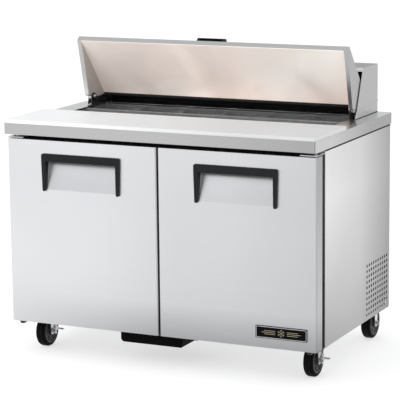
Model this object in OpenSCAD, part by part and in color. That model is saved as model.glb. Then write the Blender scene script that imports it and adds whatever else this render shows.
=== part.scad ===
// Refrigerated sandwich preparation table: a two-door under-counter cabinet on
// casters with two rows of drop-in pans behind a cutting board, and a hinged lid
// that tips back into a hood. Millimetres, +Z up, front faces -Y, origin on the
// floor under the middle of the outline, which is 17.5 mm behind the middle of the
// worktop because the rear wheels stand proud of it.

/* [Worktop] */
// Worktop width, left to right
top_w = 1229; // [1225:1:1260]
// Worktop depth, front to back
top_d = 766; // [766:1:780]
// Height of the worktop surface above the floor
top_z = 871; // [865:1:885]
// Height of the folded front and side band of the worktop
band_h = 41; // [38:1:42]
// Thickness of the worktop sheet
top_t = 2; // [1.5:0.1:2.5]
// Depth of the cutting board, front to back
board_d = 299; // [280:1:300]
// Thickness of the cutting board
board_t = 12.7; // [8:0.1:16]

/* [Pans] */
// Pan width, left to right, over the rim
pan_w = 176; // [170:1:176]
// Pan length, front to back, over the rim
pan_l = 162; // [156:1:162]
// Pan depth, over its rim
pan_h = 102; // [60:1:102]
// Wall thickness of a pan
pan_t = 2.5; // [2:0.1:3.5]

/* [Cabinet] */
// Sheet thickness of the outer panels
skin_t = 2; // [1:0.1:2]
// Height of the lower edge of doors and side panels above the floor
cab_z0 = 125; // [125:1:128]
// Diameter of the ventilation holes in the right side panel
vent_d = 12; // [6:0.5:14]

/* [Doors] */
// Door thickness without its gasket
door_t = 51.6; // [48:0.1:52]
// Gap between the two doors
door_gap = 6; // [4:0.5:8]
// Radius of the front vertical door edges
door_r = 7; // [3:0.5:9]
// Width of the black handle bezel
handle_w = 320; // [280:1:340]
// Depth of the finger recess at its top
recess_d = 32; // [20:1:34]

/* [Lid and hood] */
// Slope of the closed lid, degrees
lid_slope = 25.6; // [24:0.1:26]
// Angle the lid turns back from closed to open, degrees
lid_open = 76; // [60:1:80]
// Thickness of the lid panel
lid_t = 23; // [18:1:24]
// Length of the lid panel's inner face
lid_len = 300; // [290:1:302]

/* [Casters] */
// Caster wheel diameter
wheel_d = 120; // [110:1:120]
// Caster wheel width over the tread
wheel_w = 36; // [30:1:38]
// Trail from the swivel axis to the wheel axle
trail = 28; // [22:1:32]

/* [Hidden] */
$fn = 48;

// Worktop
top_x = top_w / 2;              // right edge
top_front = -top_d / 2;
top_rear = top_d / 2;
top_under = top_z - top_t;      // underside of the sheet
band_z = top_z - band_h;        // bottom of the band

// Cabinet
side_x = top_x - 4;             // outer face of the side panels
side_in = side_x - skin_t;      // inner face of the side panels
flange_w = 15;                  // side panel flanges
cab_front = top_front + 95;
cab_rear = top_rear - 7;
side_top = top_z - 45;          // top of the side panels
back_z0 = 346;                  // bottom of the back panel
base_z = 158;                   // underside of the cabinet floor, where casters fit
liner_t = 1.5;
room_x = 560;                   // inside half width
floor_z = 202;                  // inside floor
step_y = 70;                    // front of the machine bay wall, inside
step_z = 360;                   // inside height of the machine bay roof
room_rear = 326;                // inside rear wall
bay_y = 120;                    // machine bay, front wall
bay_top = 312;                  // machine bay, roof

// Doors, drawn for the right-hand one
door_z0 = cab_z0;
door_z1 = top_z - 59;
door_front = top_front + 18.4;
door_rear = door_front + door_t;    // rear edge of the skins
door_x0 = door_gap / 2;             // meeting edge
door_x1 = side_x - 0.5;             // hinge edge
door_mid = (door_x0 + door_x1) / 2;
hinge_x = door_x1 - 14;
hinge_y = door_front + 24.6;
recess_z0 = door_z1 - 180;          // finger recess
recess_z1 = door_z1 - 71;

// Pans
open_x = 532;                   // pan opening, half width
open_front = -74;
open_rear = 262;
surround = 13;                  // frame width round the opening
divider_y = (open_front + open_rear) / 2;
pan_pitch = 177;                // along the opening
rim_t = 3;
rim_z = top_z - 8;              // underside of the pan rims

// Lid
pivot_y = 165;
pivot_z = top_z + 34;

// Running gear and machinery
caster_x = side_x - 67.5;       // caster swivel axes
caster_front = cab_front + 34;
caster_rear = cab_rear - 46;
axle_z = wheel_d / 2;
stem_r = 6;
fan_bore = 3;                   // shaft radius of both fans
evap_fan_z = 520;
cond_fan_y = 246;
cond_fan_z = 238;
tray_z = base_z + 5;            // underside of the machine tray
drip_z = 70;                    // underside of the condensate pan
drip_t = 2;
play = 0.05;                    // radial play of pins and shafts

// middle of the outline, front to back
outline_mid = (caster_rear + trail + wheel_d / 2 + top_front) / 2;

// ---------- shared shapes ----------

module box(x0, x1, y0, y1, z0, z1) {
  translate([x0, y0, z0]) cube([x1 - x0, y1 - y0, z1 - z0]);
}

module round_rect(x0, x1, y0, y1, r) {
  translate([x0 + r, y0]) square([x1 - x0 - 2 * r, y1 - y0]);
  translate([x0, y0 + r]) square([x1 - x0, y1 - y0 - 2 * r]);
  for (x = [x0 + r, x1 - r], y = [y0 + r, y1 - r])
    translate([x, y]) circle(r);
}

// box with rounded vertical edges
module round_box(x0, x1, y0, y1, z0, z1, r) {
  translate([0, 0, z0]) linear_extrude(z1 - z0) union() round_rect(x0, x1, y0, y1, r);
}

// a profile in (y, z) carried from x0 to x1
module prism_x(x0, x1, pts) {
  translate([x0, 0, 0]) rotate([90, 0, 90]) linear_extrude(x1 - x0) polygon(pts);
}

// 2D children in (x, z) carried from y0 to y1
module extrude_y(y0, y1) {
  translate([0, y1, 0]) rotate([90, 0, 0]) linear_extrude(y1 - y0) union() children();
}

// cylinders along each axis
module cyl_x(x0, x1, y, z, r) {
  translate([x0, y, z]) rotate([0, 90, 0]) cylinder(h = x1 - x0, r = r);
}

module cyl_y(x, y0, y1, z, r) {
  translate([x, y1, z]) rotate([90, 0, 0]) cylinder(h = y1 - y0, r = r);
}

module cyl_z(x, y, z0, z1, r) {
  translate([x, y, z0]) cylinder(h = z1 - z0, r = r);
}

// sets the design so that the origin lies under the middle of its outline
module placed() { translate([0, -outline_mid, 0]) children(); }

module left() { mirror([1, 0, 0]) children(); }

module both_sides() { for (s = [0, 1]) mirror([s, 0, 0]) children(); }

// ---------- top ----------

// folded sheet worktop: flat top, band down all round, returned hem, pan opening
module worktop() {
  corner = 7;
  hem = 13;
  // worktop outline set in all round
  module inset(d, z0, z1, r)
    round_box(-top_x + d, top_x - d, top_front + d, top_rear - d, z0, z1, r);
  color("gainsboro") placed() difference() {
    inset(0, band_z, top_z, corner);
    inset(top_t, band_z + top_t, top_under, 5);
    inset(hem, band_z - 1, band_z + 3, 4);
    round_box(-open_x, open_x, open_front, open_rear, top_under - 1, top_z + 1, 8);
  }
}

module cutting_board() {
  surface_z = top_z + board_t;
  // block set in from the edges of the worktop and the rear of the board
  module field(side, front, rear, depth, r)
    round_box(-top_x + side, top_x - side, top_front + front, top_front + board_d - rear,
      surface_z - depth, surface_z + depth, r);
  color("white") placed() difference() {
    round_box(-top_x + 1.5, top_x - 1.5, top_front + 0.5, top_front + board_d,
      top_z, surface_z, 9);
    // shallow groove round the working face
    difference() {
      field(side = 10, front = 9, rear = 9, depth = 1, r = 7);
      field(side = 12, front = 11, rear = 11, depth = 2, r = 6);
    }
  }
}

// box the size of the pan opening, grown on each side
module open_box(grow_x, grow_y, z0, z1) {
  box(-open_x - grow_x, open_x + grow_x, open_front - grow_y, open_rear + grow_y, z0, z1);
}

// black moulded surround that lines the opening and carries the pan rims
module pan_opening_frame() {
  below = top_z - 140;
  color([0.1, 0.1, 0.1]) placed() difference() {
    open_box(surround, surround, top_z - 131, top_under);
    open_box(1, 1, rim_z, top_z);
    open_box(-11, -12, below, rim_z + 1);
    open_box(4, 4, below, rim_z - 14);
    // seats for the ends of the divider bar
    box(-open_x - 1, open_x + 1, divider_y - 11.5, divider_y + 11.5, rim_z - 6, rim_z + 1);
  }
}

// flat bar with a rib above and below, between the two rows of pans
module pan_divider_bar() {
  module strip(half_x, half_y, z0, z1)
    box(-half_x, half_x, divider_y - half_y, divider_y + half_y, z0, z1);
  color("lightgray") placed() union() {
    strip(open_x - 0.5, 11, rim_z - 6, rim_z);
    strip(open_x - 0.5, 1.4, rim_z - 1, rim_z + 5);
    strip(open_x - 14, 1.4, rim_z - 22, rim_z - 5);
  }
}

// one drop-in pan with a stepped body
module pan(mid_x, front) {
  upper = [11.5, 13, 14];         // inset from the rim at the sides, front and rear
  lower = [14, 15.5, 16.5];
  bottom = rim_z + rim_t - pan_h;
  step = rim_z - 26;
  module level(inset, z0, z1, r, wall = 0)
    round_box(mid_x - pan_w / 2 + inset[0] + wall, mid_x + pan_w / 2 - inset[0] - wall,
      front + inset[1] + wall, front + pan_l - inset[2] - wall, z0, z1, r - wall);
  color([0.85, 0.9, 0.92, 0.5]) placed() difference() {
    union() {
      level([0, 0, 0], rim_z, rim_z + rim_t, 11);
      level(upper, step, rim_z + 1, 13);
      level(lower, bottom, step + 1, 15);
    }
    level(upper, step + pan_t, rim_z + rim_t + 1, 13, pan_t);
    level(lower, bottom + pan_t, rim_z, 15, pan_t);
  }
}

// six pans to a row, numbered from the left
function pan_x(i) = (i - 3.5) * pan_pitch;
module pan_front(i) { pan(pan_x(i), open_front + 4); }
module pan_rear(i) { pan(pan_x(i), divider_y + 2); }

// ---------- cabinet ----------

// right-hand panel with its front and rear flanges
module side_panel() {
  flange_x = side_in - flange_w;
  union() {
    box(side_in, side_x, cab_front, cab_rear, cab_z0, side_top);
    box(flange_x, side_in + 0.5, cab_front, cab_front + skin_t, cab_z0, side_top);
    box(flange_x, side_in + 0.5, cab_rear - skin_t, cab_rear, back_z0, side_top);
  }
}

module side_panel_left() { color("lightgray") placed() left() side_panel(); }

module side_panel_right() {
  color("lightgray") placed() difference() {
    side_panel();
    // grid of ventilation holes
    for (i = [0:9], j = [0:9])
      cyl_x(side_in - 1, side_x + 1, 135 + i * 23.6, 146 + j * 20.6, vent_d / 2);
  }
}

between_flanges = side_in - flange_w - 0.5;   // half width of the panels between them

module back_panel() {
  color("silver") placed()
    box(-between_flanges, between_flanges, cab_rear - skin_t, cab_rear, back_z0, side_top);
}

// galvanised floor pan with caster sockets, a front apron and four straps
// that reach down to the condensate pan
module base_frame() {
  apron_x = side_in - 0.5;
  color([0.7, 0.72, 0.74]) placed() difference() {
    union() {
      box(-side_in, side_in, cab_front + 2, cab_rear - skin_t, base_z, base_z + 4);
      for (x = [-caster_x, caster_x], y = [caster_front, caster_rear])
        cyl_z(x, y, base_z - 6, base_z + 1, 17);
      box(-apron_x, apron_x, cab_front + 2, cab_front + 5, cab_z0 + 8, base_z + 1);
      for (x = [-150, 33], y = [-262, -102])
        box(x, x + 20, y, y + 4, drip_z + drip_t, base_z + 1);
    }
    for (x = [-caster_x, caster_x], y = [caster_front, caster_rear])
      cyl_z(x, y, base_z - 8, base_z + 5, stem_r + play);
  }
}

// foam boards of the cabinet: floor, machine bay wall and roof, rear wall, ends,
// and the rails that back the worktop; fine seams lie between the boards
module insulation() {
  seam = 0.05;
  front = cab_front + 2.1;
  back = cab_rear - skin_t;
  board_y = back - 20 ;            // front of the lower rear board
  under_floor = floor_z - liner_t;
  wall_y = step_y + liner_t;
  roof_z = step_z - liner_t;
  rear = room_rear + liner_t;
  end_x = room_x + liner_t;
  rail_x = top_x - 14;
  rail_z = side_top + seam;
  open_y0 = open_front - surround;
  open_y1 = open_rear + surround;
  color([0.93, 0.88, 0.7]) placed() {
    // floor, bay wall, bay roof, lower and upper rear wall
    box(-side_in, side_in, front, bay_y, base_z + 4, under_floor - seam);
    box(-side_in, side_in, wall_y, bay_y, under_floor, bay_top);
    box(-side_in, side_in, wall_y, board_y, bay_top + seam, roof_z);
    box(-side_in, side_in, board_y + seam, back, back_z0, roof_z);
    box(-side_in, side_in, rear, back, roof_z + seam, side_top);
    // ends, and the rails beside the pans
    both_sides() {
      box(end_x, side_in, front, wall_y - seam, under_floor, side_top);
      box(end_x, side_in, wall_y, rear - seam, roof_z + seam, side_top);
      box(open_x + surround, rail_x, open_y0 + seam, open_y1 - seam, rail_z, top_under);
    }
    // rails in front of and behind the pans, and along the front band
    box(-rail_x, rail_x, front, open_y0, rail_z, top_under);
    box(-rail_x, rail_x, open_y1, cab_rear - 12, rail_z, top_under);
    box(-rail_x, rail_x, top_front + 15, front - seam, band_z + 3, top_under);
  }
}

// side view of the cabinet's inside, (y, z), stepped over the machine bay
function cavity(grow, front, top) = [
  [front, floor_z - grow], [step_y + grow, floor_z - grow],
  [step_y + grow, step_z - grow], [room_rear + grow, step_z - grow],
  [room_rear + grow, top], [front, top]];

// formed sheet lining: floor, stepped rear wall and both ends
module cabinet_liner() {
  outer_x = room_x + liner_t;
  color("whitesmoke") placed() difference() {
    prism_x(-outer_x, outer_x, cavity(liner_t, cab_front + 2, side_top));
    prism_x(-room_x, room_x, cavity(0, cab_front - 2, side_top + 2));
  }
}

// black face frame behind the doors, with the centre post
module front_frame() {
  color([0.12, 0.12, 0.12]) placed() difference() {
    union() {
      box(-between_flanges, between_flanges, cab_front, cab_front + 2, cab_z0 + 8, side_top);
      box(-24, 24, cab_front + 1, cab_front + 46, floor_z + 0.2, side_top - 2);
    }
    both_sides() box(27, 552, cab_front - 5, cab_front + 60, floor_z + 2, top_z - 82);
  }
}

// ---------- doors (drawn for the right-hand door) ----------

door_sheet = 1.5;
leg_w = 17;                     // width of the bezel's legs
pin_r = 4;                      // hinge pins

// block with the door's rounded front edges, set in on all sides but the rear
module door_block(inset, rear) {
  x0 = door_x0 + inset;
  x1 = door_x1 - inset;
  z0 = door_z0 + inset;
  z1 = door_z1 - inset;
  union() {
    box(x0, x1, door_front + door_r, rear, z0, z1);
    round_box(x0, x1, door_front + inset, door_front + 3 * door_r, z0, z1, door_r - inset);
  }
}

// hollow sheet shell with the wedge-shaped finger recess and the hinge bushes
module door_skin() {
  recess_x0 = door_mid - handle_w / 2 + leg_w;
  recess_x1 = door_mid + handle_w / 2 - leg_w;
  recess_rear = door_front + recess_d;
  difference() {
    union() {
      difference() {
        door_block(0, door_rear);
        door_block(door_sheet, door_rear + 1);
      }
      prism_x(recess_x0 - door_sheet, recess_x1 + door_sheet, [
        [door_front, recess_z1 + door_sheet], [recess_rear + 1.6, recess_z1 + door_sheet],
        [recess_rear + 1.6, recess_z1 - 0.4], [door_front, recess_z0 - 5.3]]);
      for (z = [door_z0, door_z1 - 12])
        cyl_z(hinge_x, hinge_y, z, z + 12, 9);
    }
    prism_x(recess_x0, recess_x1, [[door_front - 1, recess_z1], [recess_rear, recess_z1],
      [door_front, recess_z0], [door_front - 1, recess_z0]]);
    for (z = [door_z0 - 1, door_z1 - 13])
      cyl_z(hinge_x, hinge_y, z, z + 14, pin_r + play);
  }
}

// flat inner sheet with a hollow raised field
module door_liner() {
  difference() {
    union() {
      box(door_x0 + door_sheet, door_x1 - door_sheet, door_rear - 2, door_rear,
        door_z0 + door_sheet, door_z1 - door_sheet);
      box(door_x0 + 48, door_x1 - 62, door_rear - 1, door_rear + 17,
        door_z0 + 92, door_z1 - 40);
    }
    box(door_x0 + 50, door_x1 - 64, door_rear - 3, door_rear + 15,
      door_z0 + 94, door_z1 - 42);
  }
}

// rectangular ring, set in from the door's edges
module door_ring(inset, width, y0, y1) {
  module slab(d, y0, y1)
    box(door_x0 + d, door_x1 - d, y0, y1, door_z0 + d, door_z1 - d);
  difference() {
    slab(inset, y0, y1);
    slab(inset + width, y0 - 1, y1 + 1);
  }
}

module door_gasket() {
  union() {
    door_ring(9, 21, door_rear, door_rear + 6);
    door_ring(13, 12, door_rear + 5.5, door_rear + 20.5);
    door_ring(10, 19, door_rear + 20, door_rear + 24);
  }
}

// inverted U bezel round the finger recess
module door_handle() {
  top = door_z1 - 48;
  bottom = door_z1 - 187;
  half_w = handle_w / 2;
  face = door_front - 8;
  lip_x0 = door_mid - half_w + leg_w + 0.5;
  lip_x1 = door_mid + half_w - leg_w - 0.5;
  difference() {
    union() {
      translate([door_mid, 0, 0]) extrude_y(face, door_front) {
        translate([-half_w + 7, top - 14]) square([handle_w - 14, 14]);
        for (s = [-1, 1]) {
          translate([s * (half_w - 7), top - 7]) circle(7);
          // tapered leg
          polygon([[s * half_w, top - 7], [s * (half_w - leg_w), top - 7],
            [s * (half_w - leg_w), recess_z1 + 1], [s * (half_w - 16), bottom + 6],
            [s * (half_w - 3), bottom + 6], [s * half_w, recess_z1]]);
          translate([s * (half_w - 9.5), bottom + 6.5]) circle(6.5);
        }
        translate([-half_w + 7, recess_z1]) square([handle_w - 14, top - recess_z1 - 7]);
      }
      // grip lip turned into the recess
      box(lip_x0, lip_x1, door_front - 1, door_front + 14, recess_z1 - 5, recess_z1 - 0.2);
      box(lip_x0, lip_x1, face, door_front - 0.5, recess_z1 - 5, recess_z1 + 1);
    }
    // bevel of the front face along the top
    prism_x(door_mid - half_w - 1, door_mid + half_w + 1,
      [[face - 1, top + 1], [face + 5, top + 1], [face - 1, top - 5]]);
  }
}

module door_left_skin() { color("lightgray") placed() left() door_skin(); }
module door_right_skin() { color("lightgray") placed() door_skin(); }
module door_left_liner() { color("whitesmoke") placed() left() door_liner(); }
module door_right_liner() { color("whitesmoke") placed() door_liner(); }
module door_left_gasket() { color([0.12, 0.12, 0.12]) placed() left() door_gasket(); }
module door_right_gasket() { color([0.12, 0.12, 0.12]) placed() door_gasket(); }
module door_left_handle() { color([0.1, 0.1, 0.1]) placed() left() door_handle(); }
module door_right_handle() { color([0.1, 0.1, 0.1]) placed() door_handle(); }

// rounded plate low on the right-hand door
module nameplate() {
  color([0.08, 0.08, 0.08]) placed() extrude_y(door_front - 3, door_front)
    round_rect(380, 575, door_z0 + 35, door_z0 + 80, 3);
}

// top plates with pins, lower plates with pins and a tapered stop
module door_hinges() {
  plate_z = door_z1 + 3;          // underside of the top plate
  low_z0 = door_z0 - 3.8;         // lower plate
  low_z1 = door_z0 - 0.8;
  low_y = door_front + 12;
  color("silver") placed() both_sides() {
    union() {
      box(door_x1 - 64, door_x1 - 1, door_front + 4, cab_front, plate_z, plate_z + 3.5);
      box(door_x1 - 64, door_x1 - 16, cab_front - 3.5, cab_front, plate_z, side_top - 1);
      cyl_z(hinge_x, hinge_y, door_z1 - 10, plate_z + 1, pin_r);
      cyl_z(hinge_x, hinge_y, plate_z + 2, plate_z + 6, 7.5);
    }
    union() {
      box(door_x1 - 26, door_x1 - 2, low_y, cab_front, low_z0, low_z1);
      box(door_x1 - 44, door_x1 - 2, low_y, low_y + 22, low_z0, low_z1);
      box(door_x1 - 26, door_x1 - 16, cab_front - 4, cab_front, low_z0, door_z0 + 8);
      extrude_y(low_y, low_y + 20)
        polygon([[door_x1 - 44, door_z0 - 1], [door_x1 - 24, door_z0 - 1],
          [door_x1 - 27, door_z0 - 12.5], [door_x1 - 40, door_z0 - 12.5]]);
      cyl_z(hinge_x, hinge_y, door_z0 - 3, door_z0 + 10, pin_r);
    }
  }
}

// ---------- lid and hood ----------

lid_along = [cos(lid_slope), sin(lid_slope)];   // up the closed lid, towards the rear
lid_out = [-sin(lid_slope), cos(lid_slope)];    // out of the closed lid
lid_corner = [-76, top_z + 2];                  // inner front corner of the closed lid
lid_x = 553;                                    // half width
cheek_in = lid_x - 15;                          // inner face of the cheeks
lid_sheet = 1.5;

// point (y, z) on the closed lid
function lid_at(along, out) = lid_corner + along * lid_along + out * lid_out;

// turns the closed lid back about its pivot to its rest position
module lid_pose() {
  translate([0, pivot_y, pivot_z]) rotate([-lid_open, 0, 0])
    translate([0, -pivot_y, -pivot_z]) children();
}

// panel with a cheek at each end
module lid_shell() {
  cavity_x = cheek_in - lid_sheet;
  inner_end = lid_len - lid_sheet;
  inner_out = lid_t - lid_sheet;
  color("silver") placed() lid_pose() difference() {
    union() {
      prism_x(-lid_x, lid_x, [lid_at(0, 0), lid_at(lid_len, 0), lid_at(lid_len, lid_t),
        lid_at(2, lid_t), lid_at(0, lid_t - 2)]);
      both_sides() {
        prism_x(cheek_in, lid_x, [lid_corner, [148, top_z + 2], [156, top_z + 11],
          [183, top_z + 80], lid_at(lid_len, 0)]);
        cyl_x(cheek_in, lid_x, pivot_y, pivot_z, 14);
      }
    }
    // hollow of the panel
    prism_x(-cavity_x, cavity_x, [lid_at(lid_sheet, -1), lid_at(inner_end, -1),
      lid_at(inner_end, inner_out), lid_at(lid_sheet, inner_out)]);
    both_sides() {
      // hollow of each cheek, open inwards, with the pivot boss left standing
      difference() {
        prism_x(cheek_in - 1, lid_x - lid_sheet, [lid_at(8, -2), [147, top_z + 4],
          [154, top_z + 12], [181, top_z + 80], lid_at(lid_len - 4, -2)]);
        cyl_x(lid_x - 20, lid_x + 1, pivot_y, pivot_z, 13.9);
      }
      cyl_x(lid_x - 16, lid_x + 1, pivot_y, pivot_z, pin_r + play);
    }
  }
}

// sheets that close the panel and the cheeks on the inside
module lid_liner() {
  rear_end = lid_len - 6;
  color([0.85, 0.83, 0.8]) placed() lid_pose() difference() {
    union() {
      prism_x(-cheek_in, cheek_in, [lid_at(4, 0), lid_at(rear_end, 0),
        lid_at(rear_end, -lid_sheet), lid_at(4, -lid_sheet)]);
      both_sides()
        prism_x(cheek_in - lid_sheet, cheek_in, [lid_at(4, 0), [146, top_z + 4.4],
          [154, top_z + 12.5], [181, top_z + 80], lid_at(rear_end, 0)]);
    }
    both_sides() cyl_x(lid_x - 18, lid_x - 14, pivot_y, pivot_z, 14.5);
  }
}

// low black grip on the lid's outer face, behind the lip
module lid_handle() {
  // outlines: distance along the lid, height above its outer face
  outer = [[3, 0.02], [4, 17], [8, 20], [16, 20], [21, 16], [36, 0.02]];
  inner = [[-1, 2], [-1, 13], [12, 14], [18, 9], [18, 2]];
  color([0.1, 0.1, 0.1]) placed() lid_pose() difference() {
    prism_x(-57, 57, [for (p = outer) lid_at(p[0], lid_t + p[1])]);
    prism_x(-46, 46, [for (p = inner) lid_at(p[0], lid_t + p[1])]);
  }
}

// sheet hood with a sloping front edge, open at the front and below
module hood_shell() {
  outer_x = 557;
  inner_x = outer_x - 1.5;
  inner_rear = top_rear - 1.5;
  roof_z = top_z + 181;
  color("lightgray") placed() difference() {
    prism_x(-outer_x, outer_x, [[152, top_z + 2], [159, top_z + 19], [226, roof_z],
      [top_rear, roof_z], [top_rear, top_z + 2]]);
    prism_x(-inner_x, inner_x, [[100, top_z - 9], [100, top_z + 168], [222.2, top_z + 168],
      [227.6, roof_z - 1.5], [inner_rear, roof_z - 1.5], [inner_rear, top_z - 9]]);
  }
}

// inner lining of the hood, with the black seal strips its sides stand on
module hood_liner() {
  color([0.2, 0.2, 0.2]) placed() union() {
    prism_x(-555, 555, [[352, top_z + 0.2], [354, top_z + 0.2], [354, top_z + 169],
      [240, top_z + 169], [240, top_z + 167], [352, top_z + 167]]);
    both_sides() box(550, 558, 200, top_rear - 1, top_z, top_z + 1.9);
    box(-558, 558, 350, top_rear - 1, top_z, top_z + 1.9);
  }
}

// bracket with a headed pin inside each cheek
module lid_pivots() {
  color([0.1, 0.1, 0.1]) placed() both_sides() union() {
    prism_x(lid_x - 19.6, lid_x - 16.8, [[146, top_z], [192, top_z], [184, top_z + 40],
      [174, top_z + 46], [156, top_z + 46], [148, top_z + 36]]);
    cyl_x(lid_x - 19, lid_x + 2.2, pivot_y, pivot_z, pin_r);
    cyl_x(lid_x - 22, lid_x - 19, pivot_y, pivot_z, 7);
  }
}

// ---------- inside the cabinet ----------

shelf_levels = [330, 545];

// wire shelf on round rods, right-hand side
module shelf(z, rear) {
  x0 = 34;
  x1 = 551;
  front = cab_front + 20;
  wire_pitch = (x1 - x0 - 6) / 16;
  union() {
    for (y = [front, (front + rear) / 2, rear])
      cyl_x(x0, x1, y, z, 3);
    for (x = [x0 + 3, x1 - 3])
      cyl_y(x, front - 3, rear + 3, z, 3);
    for (i = [1:15])
      cyl_y(x0 + 3 + i * wire_pitch, front - 1, rear + 1, z + 3.6, 1.8, $fn = 24);
  }
}

// the lower shelf stops short of the machine bay
module shelves() {
  color("whitesmoke") placed() both_sides() {
    shelf(shelf_levels[0], 44);
    shelf(shelf_levels[1], 225);
  }
}

// plain uprights with shelf clips, at the ends and beside the centre post
module shelf_pilasters() {
  top = 740;
  foot = floor_z + 4;
  module clips(x0, x1, y0, y1)
    for (z = shelf_levels)
      box(x0, x1, y0, y1, z - 10, z - 3.2);
  color("silver") placed() both_sides() {
    for (y = [-245, 20]) union() {
      box(room_x - 3, room_x, y, y + 16, foot, top);
      clips(room_x - 16, room_x - 2, y + 2, y + 14);
    }
    union() {
      box(24, 27, -262, -246, foot, top);
      clips(26, 40, -260, -248);
    }
    union() {
      box(24, 28, 50, 64, floor_z, top);
      clips(27, 40, 38, 58);
    }
  }
}

evap_front = 252;

// housing with fan orifice and slotted top, finned coil and fan motor behind it
module evaporator() {
  half_w = 260;
  z0 = 420;
  z1 = 640;
  sheet = 1.5;
  color([0.75, 0.77, 0.8]) placed() {
    difference() {
      box(-half_w, half_w, evap_front, room_rear, z0, z1);
      box(-half_w + sheet, half_w - sheet, evap_front + sheet, room_rear + 1,
        z0 + sheet, z1 - sheet);
      cyl_y(0, evap_front - 2, evap_front + 4, evap_fan_z, 66);
      for (i = [0:11])
        translate([-245 + i * 42.5, evap_front, z1 - 4]) cube([28, 60, 8]);
    }
    // fins and tubes
    for (i = [0:23])
      box(-250 + i * 21.7, -248.6 + i * 21.7, 296, 320, 428, 625);
    for (z = [450, 490, 555, 600])
      cyl_x(-256, 256, 308, z, 5);
    // motor and its shaft
    difference() {
      cyl_y(0, 280, 295.5, evap_fan_z, 22);
      cyl_y(0, 279, 283, evap_fan_z, fan_bore);
    }
    cyl_y(0, 262, 282.5, evap_fan_z, fan_bore);
  }
}

// four pitched blades on a bored hub, drawn along Z
module fan() {
  tip_r = 60;
  depth = 14;
  difference() {
    union() {
      cylinder(h = depth, r = 14);
      for (a = [0:90:270])
        rotate([0, 0, a]) translate([(tip_r + 10) / 2, 0, depth / 2]) rotate([32, 0, 0])
          cube([tip_r - 10, tip_r * 0.42, 1.6], center = true);
    }
    translate([0, 0, -1]) cylinder(h = depth + 2, r = fan_bore + play);
  }
}

module evaporator_fan() {
  color([0.15, 0.15, 0.15]) placed() translate([0, 278, evap_fan_z]) rotate([90, 0, 0]) fan();
}

// round knob with a grip bar, on the front of the evaporator housing
module control_knob() {
  knob_x = 190;
  knob_z = 600;
  color([0.15, 0.15, 0.15]) placed() difference() {
    union() {
      cyl_y(knob_x, 236, evap_front - 0.5, knob_z, 17);
      box(knob_x - 2.5, knob_x + 2.5, 230, 240, knob_z - 16, knob_z + 16);
    }
    cyl_y(knob_x, 245, 260, knob_z, 3);
  }
}

// ---------- machine bay and underside ----------

// machine tray with upturned front and rear flanges
module condensing_tray() {
  color("silver") placed() difference() {
    union() {
      box(130, 596, 132, cab_rear - 3.5, tray_z, tray_z + 3);
      box(130, 596, cab_rear - 6, cab_rear - 3.2, tray_z, tray_z + 35);
      box(130, 596, 132, 135, tray_z, tray_z + 19);
    }
    for (x = [190, 540])
      cyl_y(x, cab_rear - 10, cab_rear, tray_z + 23, 3);
  }
}

// hermetic compressor on its feet
module compressor() {
  mid = [240, 245];
  shell_r = 62;
  shell_z0 = base_z + 30;         // straight part of the shell
  shell_z1 = base_z + 96;
  color([0.12, 0.12, 0.13]) placed() translate([mid[0], mid[1], 0]) union() {
    cyl_z(0, 0, shell_z0, shell_z1, shell_r);
    // flattened domes above and below
    translate([0, 0, shell_z1]) intersection() {
      sphere(shell_r);
      cylinder(h = 40, r = shell_r);
    }
    translate([0, 0, shell_z0]) intersection() {
      sphere(shell_r);
      translate([0, 0, -16]) cylinder(h = 17, r = shell_r);
    }
    for (y = [-37, 37]) {
      box(-68, 68, y - 8, y + 8, base_z + 14, base_z + 18);
      for (x = [-58, 58])
        cyl_z(x, y, base_z + 8, base_z + 22, 9);
    }
    // box on the front of the shell
    box(-26, 26, -67, -53, base_z + 40, base_z + 92);
  }
}

// finned condenser with fan shroud, motor and motor strut
module condenser_coil() {
  color([0.3, 0.3, 0.32]) placed() {
    for (i = [0:20])
      box(520, 556, 150 + i * 9.4, 151.4 + i * 9.4, base_z + 9, 302);
    for (z = [190, 225, 260, 290])
      cyl_y(538, 146, 346, z, 5);
    // shroud
    difference() {
      box(486, 519, 146, 346, base_z + 8, 304);
      box(488, 520, 148, 344, base_z + 10, 302);
      cyl_x(480, 490, cond_fan_y, cond_fan_z, 64);
    }
    // motor, shaft and strut
    difference() {
      cyl_x(408, 440, cond_fan_y, cond_fan_z, 24);
      cyl_x(438, 441, cond_fan_y, cond_fan_z, fan_bore);
    }
    cyl_x(438.5, 474, cond_fan_y, cond_fan_z, fan_bore);
    box(412, 430, cond_fan_y - 9, cond_fan_y + 9, base_z + 8, cond_fan_z - 20);
  }
}

module condenser_fan() {
  color([0.75, 0.76, 0.78]) placed() translate([456, cond_fan_y, cond_fan_z])
    rotate([0, 90, 0]) fan();
}

// slotted cover of the machine bay
module rear_grille() {
  color("silver") placed() difference() {
    box(-side_in + 2, side_in - 2, cab_rear - 3, cab_rear - 1, base_z + 6, back_z0 - 3);
    for (i = [0:7], j = [0:3])
      translate([-side_in + 60 + j * 280, cab_rear - 5, 190 + i * 18]) cube([240, 8, 6]);
  }
}

// drip tray slung under the floor, with a rounded lower left edge
module condensate_pan() {
  x0 = -189;
  y0 = -300;
  y1 = -60;
  top = 116;
  edge_r = 14;
  // end view (x, z), set in by the wall; low_x is the foot of the sloping right side
  module trough(wall, low_x, z1) {
    polygon([[x0 + wall, z1], [x0 + wall, drip_z + edge_r], [x0 + edge_r, drip_z + wall],
      [low_x, drip_z + wall], [71 - wall, z1]]);
    translate([x0 + edge_r, drip_z + edge_r]) circle(edge_r - wall);
  }
  color([0.1, 0.1, 0.1]) placed() difference() {
    union() {
      extrude_y(y0, y1) trough(0, 56, top);
      box(x0, 122, y0, y1, top - 12, top);
    }
    extrude_y(y0 + drip_t, y1 - drip_t) trough(drip_t, 54.5, top + 2);
    box(x0 + drip_t, 122 - drip_t, y0 + drip_t, y1 - drip_t, top - 10, top + 2);
  }
}

// ---------- casters ----------

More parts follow.
